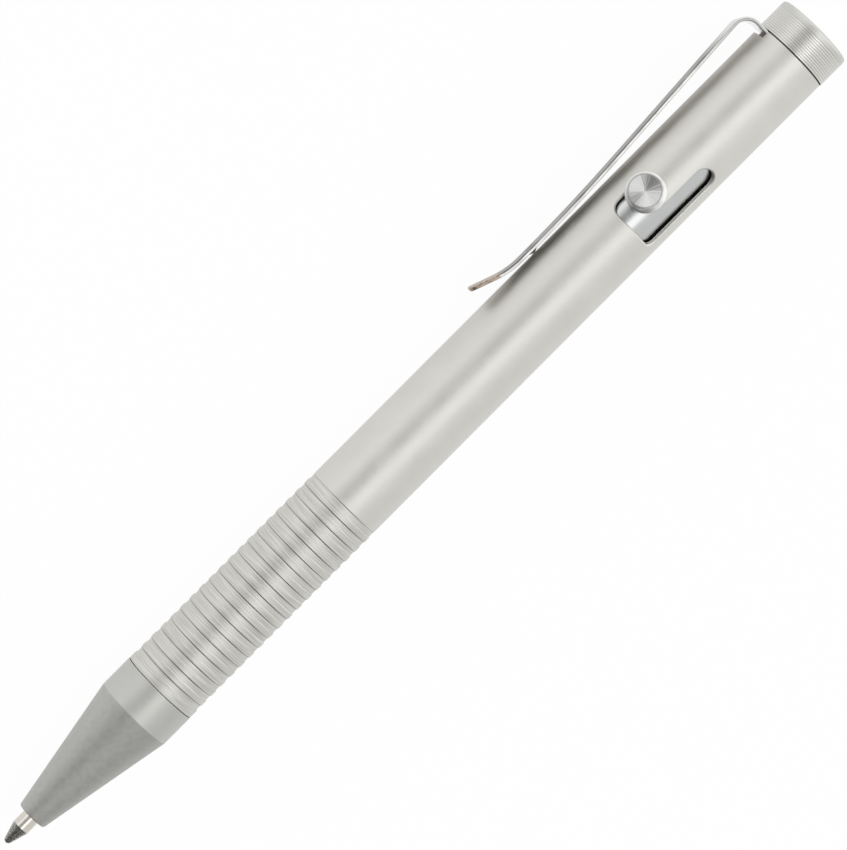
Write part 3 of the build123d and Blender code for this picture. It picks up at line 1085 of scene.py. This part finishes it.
# Clip's outer face: brushed streaks, on a colour painted dark as painted shade
brushed_face_shade = surface(
    material("brushed_clip_face_painted_shade", (0.40, 0.40, 0.39), 1.0, 0.42),
    ((0.13, 0.13, 0.125), (0.38, 0.375, 0.36)),
    (4000, 0.13),
    (0.34, 0.46),
    (0.25, 0.00003, 6000),
    (0.06, 1, 1),
)
# Clip's tail: painted brown as painted reflection
tail_reflection = surface(
    material("clip_tail_painted_reflection", (0.40, 0.35, 0.30), 1.0, 0.40),
    ((0.25, 0.196, 0.15), (0.55, 0.465, 0.38)),
    (5000, 0.14),
    (0.34, 0.46),
    (0.35, 0.00003, 6000),
    (0.25, 1, 1),
)
for made, bend_painted_level in ((brushed_face_shade, 0.72), (sheared, 0.46)):
    # Painted light at the bend: the outer face is painted lighter and the sheared edges darker
    # there, fading out along the straight part
    tree = made.node_tree
    base_color = tree.nodes["Principled BSDF"].inputs["Base Color"]
    streaks = base_color.links[0].from_socket
    where = node(tree, "ShaderNodeTexCoord")
    split = node(tree, "ShaderNodeSeparateXYZ", [(where.outputs["Object"], "Vector")])
    past_bend = remap(tree, split.outputs["X"], (0.0070, 0.0130), smooth=True)
    bend_painted_light = node(tree, "ShaderNodeMix", [(past_bend, "Factor")], data_type="RGBA")
    bend_painted_light.inputs[MIX_FIRST].default_value = (bend_painted_level, bend_painted_level, bend_painted_level * 0.98, 1)
    tree.links.new(streaks, bend_painted_light.inputs[MIX_SECOND])
    tree.links.new(bend_painted_light.outputs[MIX_RESULT], base_color)

# Point and ball
nickel = surface(
    material("nickel_silver", (0.74, 0.70, 0.62), 1.0, 0.18),
    ((0.62, 0.585, 0.53), (0.72, 0.69, 0.63)),
    (900, 0.20),
    (0.14, 0.24),
    (0.10, 0.00001, 9000),
    (8, 1, 1),
)
# Point's cone: speckled grain, on a colour painted dark as painted shade
ground_point_shade = surface(
    material("ground_point_painted_shade", (0.58, 0.55, 0.50), 1.0, 0.30),
    ((0.15, 0.145, 0.13), (0.52, 0.51, 0.47)),
    (7000, 0.10),
    (0.22, 0.36),
    (0.40, 0.00003, 9000),
)
ball = surface(
    material("ball_carbide", (0.50, 0.50, 0.50), 1.0, 0.20),
    ((0.42, 0.42, 0.42), (0.55, 0.55, 0.54)),
    (4000, 0.20),
    (0.16, 0.28),
    (0.10, 0.000005, 30000),
)

# Plastics, rubber, grease and ink inside the pen
holder = surface(
    material("holder_plastic", (0.80, 0.80, 0.77), 0.0, 0.42),
    ((0.76, 0.76, 0.73), (0.83, 0.83, 0.80)),
    (400, 0.20),
    (0.36, 0.48),
    (0.20, 0.00001, 6000),
)
guide = surface(
    material("guide_plastic", (0.06, 0.06, 0.06), 0.0, 0.45),
    ((0.045, 0.045, 0.047), (0.075, 0.075, 0.078)),
    (600, 0.20),
    (0.38, 0.52),
    (0.20, 0.00001, 6000),
)
clear = surface(
    material("clear_plastic", (0.90, 0.92, 0.92), 0.0, 0.12),
    ((0.88, 0.90, 0.90), (0.93, 0.94, 0.94)),
    (300, 0.20),
    (0.08, 0.16),
    (0.08, 0.00001, 3000),
)
clear.node_tree.nodes["Principled BSDF"].inputs["Transmission Weight"].default_value = 0.9
grease = surface(
    material("grease", (0.75, 0.70, 0.45), 0.0, 0.20),
    ((0.70, 0.64, 0.38), (0.80, 0.75, 0.52)),
    (500, 0.20),
    (0.14, 0.26),
    (0.15, 0.00002, 2500),
)
ink = surface(
    material("ink", (0.01, 0.012, 0.03), 0.0, 0.15),
    ((0.006, 0.008, 0.02), (0.016, 0.018, 0.04)),
    (500, 0.20),
    (0.10, 0.20),
    (0.10, 0.00001, 3000),
)
rubber = surface(
    material("oring_rubber", (0.03, 0.03, 0.03), 0.0, 0.60),
    ((0.022, 0.022, 0.022), (0.042, 0.042, 0.042)),
    (700, 0.20),
    (0.52, 0.68),
    (0.20, 0.00002, 5000),
)

finish = {
    "turned_barrel": (blasted, lathed, bore_shade, flank_shade, seam_shade),
    "turned_nose_cone": (banded, coned),
    "ringed_end_cap": (capped, ringed, seam_shade, groove_shade),
    "polished_slider": (polished,),
    "dished_knob": (dished, flange_light),
    "spring_clip": (sprung, sheared, brushed_face_shade, tail_reflection),
    "writing_point": (nickel, ground_point_shade),
    "writing_ball": (ball,),
    "slider_ring_rear": (guide,),
    "slider_ring_front": (guide,),
    "wound_spring": (sprung,),
    "refill_plug": (guide,),
    "refill_tube": (clear,),
    "refill_follower": (grease,),
    "refill_ink": (ink,),
    "refill_tip_holder": (holder,),
    "nose_oring": (rubber,),
}
for name, materials in finish.items():
    slots = bpy.data.objects[name].data.materials
    slots.clear()
    for made in materials:
        slots.append(made)


def finish_faces(name, choose):
    """Gives each face of a piece the material of its finish that choose names, if any."""
    for polygon in bpy.data.objects[name].data.polygons:
        chosen = choose(polygon, polygon.center / MM)
        if chosen:
            polygon.material_index = finish[name].index(chosen)


def barrel_finish(polygon, centre):
    """Seam and bore, both painted dark as painted shade, the grip's front flanks, painted dark as
    painted shade, and its other faces.
    """
    if centre.x < BARREL_REAR + 0.105:
        return seam_shade
    if BARREL_RADIUS - math.hypot(centre.y, centre.z) > 0.50:
        return bore_shade
    if centre.x > grip_rear + 0.01:
        in_grip = centre.x < BARREL_FRONT - 0.07
        return flank_shade if polygon.normal.x > 0.5 and in_grip else lathed
    return None


def cap_finish(polygon, centre):
    """Grooves, painted darker as painted shade, the lands between them, and the seam, painted dark
    as painted shade.
    """
    if ring_first < centre.x < CAP_FRONT - 0.01:
        return groove_shade if (centre.x - ring_first) % ring_pitch < ring_width else ringed
    return seam_shade if centre.x > CAP_FRONT - 0.005 else None


def clip_finish(polygon, centre):
    """Sheared edges, the brushed inner and outer faces, the outer ones painted dark as painted
    shade, and the tail with its painted brown reflection.
    """
    tail_reflection_length = 3.9
    step = polygon.index % row_size
    on_side = side_from <= step < inner_face_from or inner_face_to <= step < other_side_to
    on_edge = polygon.index >= last_row or on_side
    if not on_edge and inner_face_from <= step < inner_face_to:
        return None
    if centre.x > tail_length - tail_reflection_length:
        return tail_reflection
    return sheared if on_edge else brushed_face_shade


finish_faces("turned_barrel", barrel_finish)
finish_faces("ringed_end_cap", cap_finish)
finish_faces("spring_clip", clip_finish)
finish_faces("turned_nose_cone", lambda _, centre: coned if centre.x > cone_rear - 0.04 else None)
finish_faces("writing_point", lambda _, centre: ground_point_shade if centre.x > 142.95 else None)
finish_faces(
    "dished_knob", lambda _, centre: flange_light if (centre - STEM).dot(knob_out) < 7.0 else None
)


# Floor that stays white to the camera and keeps a faint shadow
room_centre = 0.07
floor_half = 1.6
floor_height = -5.458 * MM
white_share = 0.965
floor_mesh = bpy.data.meshes.new("floor")
floor_corners = [(-1, -1), (1, -1), (1, 1), (-1, 1)]
floor_mesh.from_pydata(
    [(x * floor_half, y * floor_half, 0) for x, y in floor_corners], [], [(0, 1, 2, 3)]
)
floor = bpy.data.objects.new("floor", floor_mesh)
floor.location = (room_centre, 0, floor_height)
bpy.context.scene.collection.objects.link(floor)
paper = material("floor_white", (0.90, 0.90, 0.90), 0.0, 0.8)
tree = paper.node_tree
matt = node(tree, "ShaderNodeBsdfDiffuse", Color=(0.92, 0.92, 0.92, 1))
glow = node(tree, "ShaderNodeEmission", Color=(1, 1, 1, 1), Strength=1.0)
rays = node(tree, "ShaderNodeLightPath").outputs
seen = calculate(tree, "MAXIMUM", rays["Is Camera Ray"], rays["Is Glossy Ray"])
seen = calculate(tree, "MAXIMUM", seen, rays["Is Transmission Ray"])
part = calculate(tree, "MULTIPLY", seen, white_share)
mixed = node(
    tree, "ShaderNodeMixShader", [(part, 0), (matt.outputs[0], 1), (glow.outputs[0], 2)]
)
tree.links.new(mixed.outputs[0], tree.nodes["Material Output"].inputs["Surface"])
floor_mesh.materials.append(paper)

# Soft room: broad bands of light that run along the pen, by their angle about its axis
levels = [
    (0, 0.90),
    (12, 0.90),
    (54, 0.84),
    (74, 0.93),
    (98, 0.93),
    (109, 0.69),
    (117, 0.38),
    (127, 0.36),
    (136, 0.80),
    (146, 1.01),
    (162, 1.09),
    (180, 1.00),
]
world = bpy.data.worlds.new("room")
bpy.context.scene.world = world
world.use_nodes = True
tree = world.node_tree
where = node(tree, "ShaderNodeTexCoord")
split = node(tree, "ShaderNodeSeparateXYZ", [(where.outputs["Generated"], "Vector")])
angle = calculate(tree, "ARCTAN2", split.outputs["Z"], split.outputs["Y"])
bands = node(tree, "ShaderNodeValToRGB", [(remap(tree, angle, (0, math.pi)), "Fac")])
ramp = bands.color_ramp
ramp.interpolation = "B_SPLINE"
while len(ramp.elements) < len(levels):
    ramp.elements.new(0.5)
for element, (degrees, level) in zip(ramp.elements, levels):
    element.position = degrees / 180
    element.color = (level, level, level, 1)

# Darker toward the pen's point, most on the side that faces away from the clip, and
# lighter toward the cap
to_point = remap(tree, split.outputs["X"], (0.10, 0.70), smooth=True)
side_span = (math.radians(165), math.radians(118))
to_side = remap(tree, angle, side_span, (0.62, 0.82), smooth=True)
to_cap = remap(tree, split.outputs["X"], (-0.10, -0.45), (1.0, 1.5), smooth=True)
kept = calculate(tree, "SUBTRACT", 1, calculate(tree, "MULTIPLY", to_point, to_side))
gain = calculate(tree, "MULTIPLY", kept, to_cap)
shaded = [(bands.outputs["Color"], 0), (gain, "Scale")]
dimmed = node(tree, "ShaderNodeVectorMath", shaded, operation="SCALE")

# White to the camera
rays = node(tree, "ShaderNodeLightPath").outputs
seen = calculate(tree, "MAXIMUM", rays["Is Camera Ray"], rays["Is Transmission Ray"])
blend = node(tree, "ShaderNodeMix", [(seen, "Factor")], data_type="RGBA")
tree.links.new(dimmed.outputs[0], blend.inputs[MIX_FIRST])
blend.inputs[MIX_SECOND].default_value = (1, 1, 1, 1)
sky = tree.nodes["Background"]
tree.links.new(blend.outputs[MIX_RESULT], sky.inputs["Color"])
sky.inputs["Strength"].default_value = 1.0


def strip_lamp(name, degrees, power, width, length=0.9, distance=0.7):
    """Long soft lamp parallel to the pen, with its sizes in metres."""
    data = bpy.data.lights.new(name, "AREA")
    data.shape = "RECTANGLE"
    data.size = length
    data.size_y = width
    data.energy = power
    lamp = bpy.data.objects.new(name, data)
    bpy.context.scene.collection.objects.link(lamp)
    back = outward(degrees)
    lamp_turn = Matrix((AXIS, back.cross(AXIS), back)).transposed().to_4x4()
    lamp.matrix_world = Matrix.Translation(AXIS * room_centre + back * distance) @ lamp_turn


strip_lamp("lamp_right", VIEW_ANGLE - 22, 0.74, 0.32)
strip_lamp("lamp_left", VIEW_ANGLE + 44, 0.24, 0.30)

bpy.context.scene.view_settings.view_transform = "Standard"
